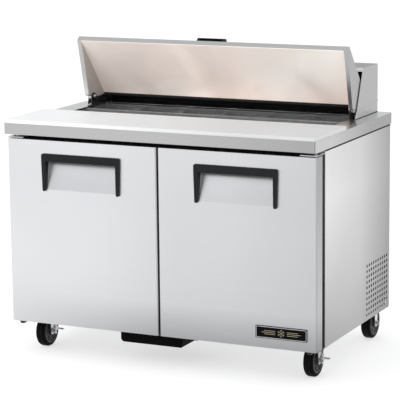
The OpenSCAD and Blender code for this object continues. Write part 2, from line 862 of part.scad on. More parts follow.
axle_r = 6;
lever_y = 44;                   // brake lever pivot, behind the swivel axis
lever_z = 67;
lever_pin_r = 2.5;

// fork with its stem and axle; braked forks have wider cheeks and a lever pin
module fork(x, y, brake) {
  rear_edge = brake ? [[42, 98], [53, 78], [53, 60], [40, 49]] : [[41, 98], [39, 50]];
  cheek = concat([[-24, 130], [24, 130], [40, 112]], rear_edge,
    [[trail, 45], [17, 50], [14, 98], [-20, 112]]);
  translate([x, y, 0]) union() {
    cyl_z(0, 0, 126, 133, 26);
    cyl_z(0, 0, 132, 151, 14);
    cyl_z(0, 0, 150, base_z + 3.5, stem_r);
    for (s = [-24, 21])
      prism_x(s, s + 3, cheek);
    cyl_x(-27, 27, trail, axle_z, axle_r);
    cyl_x(-29, -26.5, trail, axle_z, 9);
    cyl_x(26.5, 29, trail, axle_z, 9);
    if (brake) {
      cyl_x(22, 29.6, lever_y, lever_z, lever_pin_r);
      cyl_x(28.6, 30, lever_y, lever_z, 5);
    }
  }
}

// wheel on its axle: hub with a bore, web and rounded tread
module wheel(x, y) {
  half_w = wheel_w / 2;
  r = wheel_d / 2;
  bore = axle_r + play;
  // one half of the section, bore to tread: radius, distance in from the tread's side
  half = [[bore, -1], [14, -1], [15, 4], [r - 20, 6], [r - 17, 1], [r - 14, 0],
    [r - 6, 0], [r - 2, 3], [r, 8]];
  translate([x, y + trail, axle_z]) rotate([0, 90, 0]) rotate_extrude($fn = 96)
    polygon(concat([for (p = half) [p[0], p[1] - half_w]],
      [for (i = [len(half) - 1:-1:0]) [half[i][0], half_w - half[i][1]]]));
}

// foot lever on the side of the fork: a pedal, an upper release pad and a cam foot
module brake(x, y) {
  x0 = 25.2;
  x1 = 28.2;
  translate([x, y, 0]) difference() {
    union() {
      cyl_x(x0, x1, lever_y, lever_z, 8);
      // pedal arm and pedal
      prism_x(x0, x1, [[42, 74], [50, 74], [68, 63], [86, 57], [86, 53], [66, 54],
        [50, 58], [42, 60]]);
      box(x0, 42, 75, 86, 53.2, 56.7);
      // release arm and pad
      prism_x(x0, x1, [[38, 68], [47, 72], [62, 96], [72, 98.4], [72, 102], [58, 101]]);
      box(x0, 36, 63, 72, 98.5, 101.8);
      // cam foot
      prism_x(x0, x1, [[40, 66], [50, 64], [49, 46], [44, 42], [40, 45]]);
    }
    cyl_x(24, 29, lever_y, lever_z, lever_pin_r + play);
  }
}

module caster_fork_front_left() { color("silver") placed() fork(-caster_x, caster_front, true); }
module caster_fork_front_right() { color("silver") placed() fork(caster_x, caster_front, true); }
module caster_fork_rear_left() { color("silver") placed() fork(-caster_x, caster_rear, false); }
module caster_fork_rear_right() { color("silver") placed() fork(caster_x, caster_rear, false); }

tyre = [0.15, 0.15, 0.15];
module caster_wheel_front_left() { color(tyre) placed() wheel(-caster_x, caster_front); }
module caster_wheel_front_right() { color(tyre) placed() wheel(caster_x, caster_front); }
module caster_wheel_rear_left() { color(tyre) placed() wheel(-caster_x, caster_rear); }
module caster_wheel_rear_right() { color(tyre) placed() wheel(caster_x, caster_rear); }
module brake_lever_left() { color("silver") placed() brake(-caster_x, caster_front); }
module brake_lever_right() { color("silver") placed() brake(caster_x, caster_front); }

worktop();
pan_opening_frame();
pan_divider_bar();
pan_front(1);  // pan_front_1
pan_front(2);  // pan_front_2
pan_front(3);  // pan_front_3
pan_front(4);  // pan_front_4
pan_front(5);  // pan_front_5
pan_front(6);  // pan_front_6
pan_rear(1);  // pan_rear_1
pan_rear(2);  // pan_rear_2
pan_rear(3);  // pan_rear_3
pan_rear(4);  // pan_rear_4
pan_rear(5);  // pan_rear_5
pan_rear(6);  // pan_rear_6
cutting_board();
side_panel_left();
side_panel_right();
back_panel();
base_frame();
insulation();
cabinet_liner();
front_frame();
door_left_skin();
door_left_liner();
door_left_gasket();
door_left_handle();
door_right_skin();
door_right_liner();
door_right_gasket();
door_right_handle();
nameplate();
lid_shell();
lid_liner();
lid_handle();
hood_shell();
hood_liner();
lid_pivots();
door_hinges();
shelves();
shelf_pilasters();
evaporator();
evaporator_fan();
control_knob();
condensing_tray();
compressor();
condenser_coil();
condenser_fan();
rear_grille();
condensate_pan();
caster_fork_front_left();
caster_fork_front_right();
caster_fork_rear_left();
caster_fork_rear_right();
caster_wheel_front_left();
caster_wheel_front_right();
caster_wheel_rear_left();
caster_wheel_rear_right();
brake_lever_left();
brake_lever_right();
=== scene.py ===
# A refrigerated preparation counter on casters: two doors, a white cutting board along the
# worktop, food pans behind it and an open lid at the hood.
# It stands on z = 0 with its front towards -Y, its left end towards -X and Z up, in metres.
import bpy, bmesh, math
from mathutils import Vector, Matrix

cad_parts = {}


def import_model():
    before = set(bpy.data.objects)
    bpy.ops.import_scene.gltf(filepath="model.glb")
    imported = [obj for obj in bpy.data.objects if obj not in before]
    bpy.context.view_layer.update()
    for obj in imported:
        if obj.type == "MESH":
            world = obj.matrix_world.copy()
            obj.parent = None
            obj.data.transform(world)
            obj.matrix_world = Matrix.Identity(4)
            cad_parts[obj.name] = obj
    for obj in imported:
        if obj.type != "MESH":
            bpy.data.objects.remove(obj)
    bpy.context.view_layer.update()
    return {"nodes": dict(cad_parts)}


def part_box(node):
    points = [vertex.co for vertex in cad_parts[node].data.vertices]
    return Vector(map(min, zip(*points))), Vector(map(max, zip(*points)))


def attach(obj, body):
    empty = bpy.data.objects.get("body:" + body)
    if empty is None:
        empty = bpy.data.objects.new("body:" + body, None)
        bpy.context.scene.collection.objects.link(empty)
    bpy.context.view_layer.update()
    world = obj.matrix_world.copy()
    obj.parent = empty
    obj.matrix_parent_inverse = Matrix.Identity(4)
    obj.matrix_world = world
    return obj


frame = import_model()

NODES = frame["nodes"]

# Places given through point() are in millimetres; sizes, offsets and profiles are in metres.
ORIGIN_Y = 17.5                       # mm, frame origin behind the middle of the worktop
SIGNS = (-1, 1)                       # left and right, or the two faces of a wheel

# casters, mm
CASTER_X = 543
CASTER_SWIVEL_Y = {"front": -254, "rear": 330}
CASTER_TRAIL = 28                     # wheel centre behind the swivel
WHEEL_Z = 60

# lid, mm and degrees
LID_PIVOT_X, LID_PIVOT_Y, LID_PIVOT_Z = 531, 165, 905
LID_LIP_Y, LID_LIP_Z = -76, 873       # free edge of the closed lid
LID_SLOPE = 25.6                      # closed lid above the horizontal
LID_SWING = -76                       # from closed to the open rest pose

# screw heads: radius, height
PANEL_SCREW = (0.0042, 0.0022)
SHEET_SCREW = (0.0045, 0.0024)
HOOD_SIDE_SCREW = (0.0050, 0.0030)
HINGE_SCREW = (0.0048, 0.0024)
LIP_SCREW = (0.0036, 0.0018)


# ------------------------------------------------------------------ shader helpers
# noise characters: detail, roughness
FINE = (2.0, 0.5)
CLOUDY = (3.0, 0.5)
MOTTLED = (3.0, 0.6)
PATCHY = (4.0, 0.6)

FALLING = (1, 0)                      # output range of a remap that runs downwards


def scaled(colour, factor, lift=0.0):
    """The colour times a factor, raised by lift and held at white."""
    return tuple(min(1.0, c * factor + lift) for c in colour)


class Mat:
    """Wires a Principled material: a new one, or more nodes in an existing one."""

    def __init__(self, name, material=None):
        self.material = material or bpy.data.materials.new(name)
        self.material.use_nodes = True
        self.tree = self.material.node_tree
        self.shader = self.tree.nodes["Principled BSDF"]
        self.coords = self.node("TexCoord")
        self.object_coords = self.coords.outputs["Object"]
        self.separated = {}

    def node(self, kind, **settings):
        node = self.tree.nodes.new("ShaderNode" + kind)
        for key, value in settings.items():
            setattr(node, key, value)
        return node

    def link(self, source, target):
        self.tree.links.new(source, target)

    def feed(self, value, socket):
        """Sets a number or a colour on the socket, or links an output to it."""
        if isinstance(value, (int, float)):
            socket.default_value = value
        elif isinstance(value, tuple):
            opaque = len(value) == 3 and socket.type == "RGBA"
            socket.default_value = (*value, 1) if opaque else value
        else:
            self.link(value, socket)

    def mapped(self, scale, rotation=(0, 0, 0)):
        node = self.node("Mapping")
        node.inputs["Scale"].default_value = scale
        node.inputs["Rotation"].default_value = rotation
        self.link(self.object_coords, node.inputs["Vector"])
        return node.outputs["Vector"]

    def noise(self, scale, character, seed=0.0, coords=None, distortion=0.0):
        """Noise of a (detail, roughness) character; a seed makes it four-dimensional."""
        node = self.node("TexNoise", noise_dimensions="4D" if seed else "3D")
        node.inputs["Scale"].default_value = scale
        node.inputs["Detail"].default_value, node.inputs["Roughness"].default_value = character
        node.inputs["Distortion"].default_value = distortion
        if seed:
            node.inputs["W"].default_value = seed
        self.link(self.object_coords if coords is None else coords, node.inputs["Vector"])
        return node.outputs["Fac"]

    def cells(self, scale):
        """Random channels, one value to each crystal-like cell."""
        node = self.node("TexVoronoi", voronoi_dimensions="3D")
        node.inputs["Scale"].default_value = scale
        self.link(self.object_coords, node.inputs["Vector"])
        channels = self.node("SeparateColor")
        self.link(node.outputs["Color"], channels.inputs[0])
        return channels.outputs

    def ramp(self, fac, stops):
        """A two-stop colour ramp of (position, colour)."""
        node = self.node("ValToRGB")
        for element, (position, colour) in zip(node.color_ramp.elements, stops):
            element.position = position
            element.color = (*colour, 1)
        self.link(fac, node.inputs["Fac"])
        return node.outputs["Color"]

    def remap(self, fac, span=(0, 1), to=(0, 1)):
        """Carries the input span onto the output range, held at its ends."""
        node = self.node("MapRange")
        node.inputs["From Min"].default_value, node.inputs["From Max"].default_value = span
        node.inputs["To Min"].default_value, node.inputs["To Max"].default_value = to
        self.link(fac, node.inputs["Value"])
        return node.outputs["Result"]

    def mix(self, fac, a, b, blend="MIX"):
        node = self.node("Mix", data_type="RGBA", blend_type=blend)
        # the colour sockets of a Mix node are inputs 6 and 7, output 2
        for index, value in ((0, fac), (6, a), (7, b)):
            self.feed(value, node.inputs[index])
        return node.outputs[2]

    def multiplied(self, fac, base, factor):
        """Multiplies the base by a grey factor where fac is high."""
        return self.mix(fac, base, self.mix(1.0, base, (factor,) * 3, "MULTIPLY"))

    def math(self, operation, *values):
        node = self.node("Math", operation=operation)
        for index, value in enumerate(values):
            self.feed(value, node.inputs[index])
        return node.outputs[0]

    def times(self, a, b):
        return self.math("MULTIPLY", a, b)

    def bump(self, height, strength, distance):
        node = self.node("Bump")
        node.inputs["Strength"].default_value = strength
        node.inputs["Distance"].default_value = distance
        self.link(height, node.inputs["Height"])
        self.link(node.outputs["Normal"], self.shader.inputs["Normal"])

    def split(self, vector):
        node = self.node("SeparateXYZ")
        self.link(vector, node.inputs[0])
        return node.outputs

    def normal(self, axis):
        if "normal" not in self.separated:
            self.separated["normal"] = self.split(self.node("TexCoord").outputs["Normal"])
        return self.separated["normal"]["XYZ".index(axis)]

    def place(self, axis):
        if "place" not in self.separated:
            self.separated["place"] = self.split(self.object_coords)
        return self.separated["place"]["XYZ".index(axis)]

    def edge(self, radius):
        """1 near edges, 0 elsewhere: bevel normal against true normal."""
        bevel = self.node("Bevel", samples=4)
        bevel.inputs["Radius"].default_value = radius
        geometry = self.node("NewGeometry")
        dot = self.node("VectorMath", operation="DOT_PRODUCT")
        self.link(bevel.outputs["Normal"], dot.inputs[0])
        self.link(geometry.outputs["Normal"], dot.inputs[1])
        return self.remap(dot.outputs["Value"], (0.8, 1.0), FALLING)

    def set(self, **values):
        for key, value in values.items():
            self.feed(value, self.shader.inputs[key.replace("_", " ")])


# ------------------------------------------------------------------ material kinds
def stainless(name, tone, roughness, seed, grain="X", metal=1.0, tint=(1, 1, 1), aniso=0.45,
              shading=None):
    """Brushed sheet: long fine grain along one axis, soft cloudiness, faint wipe marks."""
    m = Mat(name)
    along, across = 1.2, 520.0        # noise scales along and across the grain
    coarse = 0.22                     # scale of the second, coarser grain
    smudge = 0.05
    scale = tuple(along if axis == grain else across for axis in "XYZ")
    fine_grain = m.noise(1.0, FINE, seed, m.mapped(scale))
    coarse_grain = m.noise(1.0, MOTTLED, seed + 3.1, m.mapped(tuple(s * coarse for s in scale)))
    cloud = m.noise(2.3, FINE, seed + 7.7)
    colour = scaled(tint, tone)
    base = m.mix(fine_grain, scaled(colour, 0.965), scaled(colour, 1.03))
    streaks = m.remap(coarse_grain, (0.35, 0.7), to=(0, 0.35))
    base = m.mix(streaks, base, scaled(colour, 0.975))
    base = m.mix(m.remap(cloud, (0.4, 0.7), to=(0, smudge * 3)), base, scaled(colour, 0.9))
    # paler edges: a painted highlight where the edges would round off
    base = m.mix(m.times(m.edge(radius=0.0012), 0.35), base, scaled(colour, 1.15))
    # painted light and shade from the shading pairs
    for fac, factor in (shading(m) if shading else ()):
        base = m.multiplied(fac, base, factor)
    rough = m.remap(fine_grain, to=(roughness - 0.04, roughness + 0.05))
    rough = m.math("ADD", rough, m.remap(cloud, (0.35, 0.7), to=(0, smudge)))
    m.set(Base_Color=base, Metallic=metal, Roughness=rough, Anisotropic=aniso)
    tangent = m.node("CombineXYZ")
    for index, axis in enumerate("XYZ"):
        tangent.inputs[index].default_value = 1.0 if axis == grain else 0.0
    m.link(tangent.outputs[0], m.shader.inputs["Tangent"])
    height = m.math("ADD", fine_grain, m.times(coarse_grain, 0.6))
    m.bump(height, strength=0.05, distance=0.0004)
    return m.material


def plastic(name, colour, roughness, grain=900.0, bump=0.12, edge=0.35, spec=0.5, seed=1.0,
            dust=0.06):
    """Moulded plastic: fine spark texture, slight sheen change, paler edges of wear and painted
    highlight.
    """
    m = Mat(name)
    spark = m.noise(grain, FINE, seed)
    sheen = m.noise(5.0, CLOUDY, seed + 2)
    base = m.mix(m.remap(sheen, (0.3, 0.75)), scaled(colour, 0.88), scaled(colour, 1.12))
    # paler edges: wear, and a painted highlight where the edges would round off
    base = m.mix(m.times(m.edge(radius=0.0010), edge), base, scaled(colour, 1.5, lift=0.05))
    specks = m.noise(38.0, PATCHY, seed + 5)
    base = m.mix(m.remap(specks, (0.5, 0.75), to=(0, dust)), base, (0.5, 0.5, 0.5))
    rough = m.remap(sheen, to=(roughness - 0.05, roughness + 0.07))
    m.set(Base_Color=base, Roughness=rough, Specular_IOR_Level=spec)
    m.bump(spark, strength=bump, distance=0.0003)
    return m.material


def rubber(name, colour=(0.018, 0.018, 0.019), roughness=0.62, scuff=0.2, seed=2.0, spec=0.25):
    """Dull rubber with pale scuffs, and paler edges of wear and painted highlight."""
    m = Mat(name)
    grain = m.noise(620.0, FINE, seed)
    wear = m.noise(14.0, PATCHY, seed + 1)
    scuffs = m.remap(wear, (0.5, 0.78), to=(0, scuff))
    base = m.mix(scuffs, colour, scaled(colour, 2.2, lift=0.03))
    # paler edges: wear, and a painted highlight where the edges would round off
    base = m.mix(m.times(m.edge(radius=0.0012), 0.4), base, scaled(colour, 2.5, lift=0.04))
    rough = m.remap(wear, to=(roughness - 0.07, roughness + 0.1))
    m.set(Base_Color=base, Roughness=rough, Specular_IOR_Level=spec)
    m.bump(grain, strength=0.15, distance=0.0004)
    return m.material


def zinc(name, tone, roughness=0.28, seed=4.0, tint=(1.0, 1.0, 1.02)):
    """Plated pressed metal: crystalline patches and mottled tarnish."""
    m = Mat(name)
    crystals = m.cells(170.0)
    mottle = m.noise(60.0, MOTTLED, seed)
    colour = scaled(tint, tone)
    base = m.mix(crystals[0], scaled(colour, 0.9), scaled(colour, 1.08))
    base = m.mix(m.remap(mottle, (0.5, 0.75), to=(0, 0.5)), base, scaled(colour, 0.72))
    rough = m.remap(mottle, to=(roughness - 0.05, roughness + 0.12))
    m.set(Base_Color=base, Metallic=1.0, Roughness=rough)
    m.bump(mottle, strength=0.06, distance=0.0005)
    return m.material


def galvanised(name):
    """Sheet with a spangle of slightly bluer and paler cells."""
    m = Mat(name)
    tone = 0.55
    spangle = m.cells(95.0)
    patches = m.noise(22.0, PATCHY, seed=9.0)
    base = m.mix(spangle[0], (tone * 0.92, tone * 0.94, tone * 0.96),
                 (tone * 1.06, tone * 1.08, tone * 1.11))
    base = m.mix(m.remap(patches, (0.5, 0.8), to=(0, 0.25)), base, (tone * 0.82,) * 3)
    m.set(Base_Color=base, Metallic=0.85, Roughness=m.remap(spangle[1], to=(0.36, 0.44)))
    m.bump(patches, strength=0.05, distance=0.0004)
    return m.material


def board_white(name):
    """White polyethylene board: faint knife marks, a waxy sheen and painted shade that greys it
    to the right.
    """
    m = Mat(name)
    cuts_one = m.noise(1.0, FINE, 1.0, m.mapped((260.0, 9.0, 30.0), rotation=(0, 0, 0.5)))
    cuts_two = m.noise(1.0, FINE, 4.0, m.mapped((230.0, 8.0, 30.0), rotation=(0, 0, -0.9)))
    cuts = m.math("MAXIMUM", m.remap(cuts_one, (0.66, 0.74)), m.remap(cuts_two, (0.67, 0.75)))
    sheen = m.noise(6.0, CLOUDY, seed=2.0)
    base = m.mix(m.remap(sheen, (0.3, 0.7)), (0.92, 0.925, 0.93), (0.95, 0.952, 0.955))
    # painted shade, greyer to the right
    base = m.multiplied(m.remap(m.place("X"), (-0.45, 0.30)), base, 0.72)
    base = m.mix(m.times(cuts, 0.25), base, (0.74, 0.745, 0.74))
    m.set(Base_Color=base, Roughness=m.remap(sheen, to=(0.34, 0.46)), Subsurface_Weight=0.12,
          Subsurface_Scale=0.004, Subsurface_Radius=(1.0, 0.9, 0.8))
    height = m.math("ADD", m.noise(340.0, FINE), m.times(cuts, -0.8))
    m.bump(height, strength=0.08, distance=0.0004)
    return m.material


def clear_plastic(name):
    """Clear polycarbonate food pan: slightly grey, a little cloudy with use."""
    m = Mat(name)
    haze = m.noise(26.0, PATCHY, seed=1.5)
    m.set(Base_Color=(0.93, 0.955, 0.96), Roughness=m.remap(haze, (0.35, 0.75), to=(0.05, 0.2)),
          IOR=1.5, Transmission_Weight=0.88, Alpha=0.92)
    m.bump(haze, strength=0.05, distance=0.0005)
    return m.material


def enamel(name, colour, roughness=0.22):
    """Glossy coat with a little orange peel and paler edges, a painted highlight."""
    m = Mat(name)
    peel = m.noise(180.0, FINE, seed=3.0)
    cloud = m.noise(7.0, CLOUDY, seed=4.0)
    base = m.mix(m.remap(cloud, (0.3, 0.7)), scaled(colour, 0.9),
                 scaled(colour, 1.15, lift=0.004))
    # paler edges: a painted highlight where the edges would round off
    base = m.mix(m.times(m.edge(radius=0.001), 0.3), base, scaled(colour, 1.6, lift=0.08))
    m.set(Base_Color=base, Roughness=m.remap(cloud, to=(roughness - 0.04, roughness + 0.08)),
          Coat_Weight=0.35, Coat_Roughness=0.12)
    m.bump(peel, strength=0.05, distance=0.0004)
    return m.material


def hinge_metal(name):
    """Plated plates above; the lower bracket is black."""
    m = Mat(name)
    low = m.remap(m.place("Z"), (0.30, 0.31), FALLING)
    mottle = m.noise(60.0, MOTTLED, seed=3.3)
    plated = m.mix(mottle, (0.56, 0.56, 0.57), (0.66, 0.66, 0.67))
    m.set(Base_Color=m.mix(low, plated, (0.012, 0.012, 0.013)),
          Metallic=m.remap(low, to=FALLING), Roughness=m.remap(mottle, to=(0.24, 0.42)))
    m.bump(mottle, strength=0.05, distance=0.0005)
    return m.material


# ------------------------------------------------------------------ painted light and shade of the sheets
# Each returns (where, brightness factor) pairs; spans are object coordinates in metres or
# components of the normal.
def end_faces(m, span=(0.35, 0.9)):
    """1 on faces that look left or right."""
    return m.remap(m.math("ABSOLUTE", m.normal("X")), span)


def door_shade(m):
    # faces of the finger recess that tilt back: painted shade in the recess
    recess_shade = m.times(m.remap(m.normal("Z"), (0.08, 0.2)),
                   m.remap(m.normal("Y"), (-0.7, -0.4), FALLING))
    # painted shade on the door's end faces
    side = end_faces(m)
    # painted shade low on the left door, where it reflects the floor
    foot_shade = m.times(m.remap(m.place("Z"), (0.13, 0.25), FALLING),
                   m.remap(m.place("X"), (-0.6, -0.02), to=(0.12, 1)))
    # then the slow fall of light to the right and upwards
    return ((recess_shade, 0.54), (side, 0.70),
            (m.remap(m.place("X"), (-0.22, 0.06)), 0.93),
            (m.remap(m.place("X"), (0.28, 0.6)), 0.94),
            (m.remap(m.place("Z"), (0.30, 0.62)), 0.93),
            (foot_shade, 0.68))


def side_shade(m):
    # painted shade: darker towards the rear and the bottom, more so at the bottom of the front
    y = m.place("Y")
    front = m.remap(y, (-0.34, 0.05), FALLING)
    low = m.remap(m.place("Z"), (0.16, 0.66), FALLING)
    return ((m.remap(y, (-0.28, 0.08)), 0.86), (m.remap(y, (0.05, 0.36)), 0.60),
            (low, 0.55), (m.times(front, low), 0.86))


def lid_inner_shade(m):
    # painted shade on the faces that look left or right
    return ((end_faces(m), 0.64),)


def hood_shade(m):
    # painted shade on the faces that look up
    return ((m.remap(m.normal("Z"), (0.25, 0.8)), 0.5),)


def top_shade(m):
    # painted shade on the front faces, more to the right; painted light on the end faces, with
    # painted shade towards their rear
    front = m.remap(m.normal("Y"), (-0.95, -0.5), FALLING)
    ends = end_faces(m, (0.5, 0.9))
    rear_of_ends = m.times(ends, m.remap(m.place("Y"), (-0.25, 0.15)))
    return ((front, 0.86), (m.times(front, m.remap(m.place("X"), (0.1, 0.6))), 0.84),
            (ends, 1.22), (rear_of_ends, 0.64))


def warm_bounce(material):
    """The lining faces down over the white board and takes up its light, painted as a warm glow
    of the lining.
    """
    m = Mat(None, material)
    x, _, z = m.split(m.object_coords)
    to_right = m.remap(x, (-0.54, -0.1), to=(0.10, 0.30))
    uneven = m.remap(m.noise(4.6, CLOUDY, distortion=0.6), (0.3, 0.7), to=(0.72, 1.28))
    strength = m.times(to_right, uneven)
    # the two end faces see less of the board
    facing_x = m.math("ABSOLUTE", m.split(m.coords.outputs["Normal"])[0])
    strength = m.times(strength, m.remap(facing_x, (0.3, 0.9), FALLING))
    # nearer the board, more of its light
    strength = m.times(strength, m.remap(z, (0.89, 1.14), to=(1.8, 0.7)))
    hue = m.ramp(m.noise(2.4, FINE), ((0.38, (1.0, 0.78, 0.68)), (0.62, (1.0, 0.94, 0.88))))
    # painted bounce light: the lining glows warm
    m.set(Emission_Color=hue, Emission_Strength=strength)


# ------------------------------------------------------------------ the materials
MATERIALS = {
    # the stainless parts are one steel; their different tones stand for the light each part
    # takes: painted light and shade
    "top": stainless("stainless_worktop", tone=0.66, roughness=0.24, seed=1.0,
                     shading=top_shade),
    "door": stainless("stainless_door", tone=0.965, roughness=0.34, seed=11.0,
                      tint=(0.985, 0.99, 1.02), shading=door_shade),
    "side": stainless("stainless_side", tone=1.0, roughness=0.34, seed=21.0, grain="Z",
                      shading=side_shade),
    "lid": stainless("stainless_lid_outer", tone=0.61, roughness=0.30, seed=31.0),
    "lid_in": stainless("stainless_lid_inner", tone=0.86, roughness=0.5, seed=41.0, metal=0.12,
                        tint=(1.0, 0.915, 0.855), aniso=0.2, shading=lid_inner_shade),
    "hood": stainless("stainless_hood", tone=0.66, roughness=0.33, seed=51.0,
                      shading=hood_shade),
    "bar": stainless("stainless_bar", tone=0.62, roughness=0.25, seed=61.0),
    "board": board_white("polyethylene_board"),
    "black": plastic("black_moulded", (0.005, 0.005, 0.006), roughness=0.5, spec=0.12,
                     edge=0.15, dust=0.006),
    "tray": plastic("black_tray", (0.0025, 0.0025, 0.003), roughness=0.62, spec=0.05,
                    edge=0.12, dust=0.003, seed=27.0),
    # near black: partly the frames' own colour, partly painted shade in the gap under the
    # worktop and in the pan well
    "black_frame": plastic("black_frame_plastic", (0.010, 0.010, 0.011), roughness=0.5,
                           seed=6.0, spec=0.3, edge=0.2, dust=0.02),
    "handle": plastic("black_handle_plastic", (0.009, 0.010, 0.012), roughness=0.42,
                      grain=1300.0, bump=0.2, edge=0.22, seed=8.0, spec=0.2, dust=0.008),
    "seal": rubber("black_seal"),
    "wheel": rubber("wheel_tread", (0.0028, 0.0028, 0.0033), roughness=0.55, scuff=0.03,
                    seed=5.0, spec=0.05),
    "zinc": zinc("zinc_plate", tone=0.74),
    "zinc_dark": zinc("zinc_dark", tone=0.45, roughness=0.35, seed=7.0),
    "galv": galvanised("galvanised_sheet"),
    "liner": stainless("aluminium_liner", tone=0.82, roughness=0.42, seed=71.0, grain="Z",
                       aniso=0.2),
    "pan": clear_plastic("clear_polycarbonate"),
    "wire": enamel("coated_wire", (0.80, 0.82, 0.82), roughness=0.3),
    # darker than bare aluminium: painted shade in the bay behind the side holes
    "fin": stainless("fin_aluminium", tone=0.42, roughness=0.4, seed=81.0, grain="Z",
                     aniso=0.1),
    "enamel": enamel("black_enamel", (0.016, 0.016, 0.018)),
    "plate": plastic("nameplate_black", (0.0025, 0.0025, 0.003), roughness=0.5, spec=0.08,
                     edge=0.1, dust=0.004, seed=12.0),
    "mark": zinc("nameplate_brass", tone=0.66, roughness=0.34, seed=15.0,
                 tint=(1.0, 0.86, 0.62)),
    "rim": zinc("bright_rim", tone=0.8, roughness=0.2, seed=14.0),
    "foam": plastic("black_sheathed_foam", (0.010, 0.010, 0.010), roughness=0.8, grain=300.0,
                    bump=0.3, edge=0.1, seed=22.0, spec=0.1, dust=0.01),
    "hinge": hinge_metal("hinge_plates"),
    "web": plastic("wheel_web", (0.014, 0.014, 0.016), roughness=0.4, seed=18.0, spec=0.3,
                   edge=0.2, dust=0.015),
    "rim_line": plastic("wheel_rim_line", (0.10, 0.10, 0.108), roughness=0.4, seed=19.0,
                        dust=0.02),
    # near black: painted shade behind the side holes
    "screen": plastic("black_vent_shade_screen", (0.003, 0.003, 0.0035), roughness=0.7, grain=420.0,
                      bump=0.6, edge=0.1, seed=33.0, spec=0.05, dust=0.01),
    "copper": zinc("copper_line", tone=0.55, roughness=0.3, seed=19.0, tint=(1.25, 0.72, 0.5)),
}
warm_bounce(MATERIALS["lid_in"])

LOOK_BY_NAME = {
    "worktop": "top", "pan_opening_frame": "black_frame", "pan_divider_bar": "bar",
    "cutting_board": "board", "side_panel_left": "side", "side_panel_right": "side",
    "back_panel": "galv", "base_frame": "galv", "insulation": "foam",
    "cabinet_liner": "liner", "front_frame": "black_frame", "nameplate": "plate",
    "lid_shell": "lid", "lid_liner": "lid_in", "lid_handle": "handle", "hood_shell": "hood",
    "hood_liner": "black", "lid_pivots": "enamel", "door_hinges": "hinge",
    "shelves": "wire", "shelf_pilasters": "zinc", "evaporator": "fin",
    "evaporator_fan": "black", "control_knob": "handle", "condensing_tray": "galv",
    "compressor": "enamel", "condenser_coil": "fin", "condenser_fan": "fin",
    "rear_grille": "galv", "condensate_pan": "tray",
}
# start of the name, end of the name, look
LOOK_BY_PATTERN = (
    ("pan_front_", "", "pan"), ("pan_rear_", "", "pan"),
    ("door_", "_skin", "door"), ("door_", "_gasket", "seal"),
    ("door_", "_handle", "handle"), ("door_", "_liner", "liner"),
    ("caster_fork", "", "zinc"), ("caster_wheel", "", "wheel"), ("brake_lever", "", "rim"),
)


def look_of(name):
    for start, end, look in LOOK_BY_PATTERN:
        if name.startswith(start) and name.endswith(end):
            return look
    return LOOK_BY_NAME[name]


def dress(obj, material):
    """Gives a frame node its material and flat faces, without touching its shape."""
    if not obj.material_slots:
        obj.data.materials.append(material)
    for slot in obj.material_slots:
        slot.material = material
    for face in obj.data.polygons:
        face.use_smooth = False


for node_name, node_object in NODES.items():
    dress(node_object, MATERIALS[look_of(node_name)])


# ------------------------------------------------------------------ mesh helpers
def point(x, y, z):
    """Millimetres from the middle of the worktop and the floor, in the frame's metres."""
    return Vector((x / 1000.0, (y - ORIGIN_Y) / 1000.0, z / 1000.0))


def add_piece(name, mesh, look, body, sharp=None):
    """Makes the object; sharp is the angle in degrees up to which edges are smooth."""
    data = bpy.data.meshes.new(name)
    bmesh.ops.recalc_face_normals(mesh, faces=mesh.faces)
    mesh.to_mesh(data)
    mesh.free()
    data.materials.append(MATERIALS[look])
    piece = bpy.data.objects.new(name, data)
    bpy.context.scene.collection.objects.link(piece)
    if sharp:
        for face in data.polygons:
            face.use_smooth = True
        data.set_sharp_from_angle(angle=math.radians(sharp))
    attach(piece, body)


def circle(mesh, centre, u, v, radius, segs):
    turns = [2 * math.pi * i / segs for i in range(segs)]
    return [mesh.verts.new(centre + (u * math.cos(a) + v * math.sin(a)) * radius)
            for a in turns]


def join_rings(mesh, a, b):
    """A band of faces between two rings; either may be a single vertex."""
    segs = max(len(a), len(b))
    for i in range(segs):
        j = (i + 1) % segs
        if len(a) == 1:
            mesh.faces.new((a[0], b[j], b[i]))
        elif len(b) == 1:
            mesh.faces.new((a[i], a[j], b[0]))
        else:
            mesh.faces.new((a[i], a[j], b[j], b[i]))


def lathe_into(mesh, profile, centre, axis, segs):
    """Turns (radius, height) points about an axis; a radius of 0 closes to a point."""
    axis = Vector(axis).normalized()
    side = axis.orthogonal().normalized()
    other = axis.cross(side)
    rings = []
    for radius, height in profile:
        middle = Vector(centre) + axis * height
        if radius == 0:
            rings.append([mesh.verts.new(middle)])
        else:
            rings.append(circle(mesh, middle, side, other, radius, segs))
    for a, b in zip(rings, rings[1:]):
        join_rings(mesh, a, b)
    return rings


def ring_into(mesh, profile, centre, axis, segs):
    """A closed ring: the profile is a loop of (radius, height) points."""
    rings = lathe_into(mesh, profile, centre, axis, segs)
    join_rings(mesh, rings[-1], rings[0])


def box_into(mesh, low, high, radius, segs, turn=None, pivot=None):
    """A box with rounded edges, turned about the pivot; returns its vertices."""
    low, high = Vector(low), Vector(high)
    middle, size = (low + high) / 2, high - low
    verts = bmesh.ops.create_cube(mesh, size=1.0)["verts"]
    for v in verts:
        v.co = Vector((v.co.x * size.x, v.co.y * size.y, v.co.z * size.z)) + middle
    edges = list({e for v in verts for e in v.link_edges})
    rounded = bmesh.ops.bevel(mesh, geom=edges, offset=min(radius, 0.49 * min(size)),
                              segments=segs, profile=0.5, affect="EDGES")
    verts = list({v for f in rounded["faces"] for v in f.verts}
                 | {v for v in verts if v.is_valid})
    if turn is not None:
        bmesh.ops.transform(mesh, matrix=turn, verts=verts,
                            space=Matrix.Translation(-Vector(pivot)))
    return verts


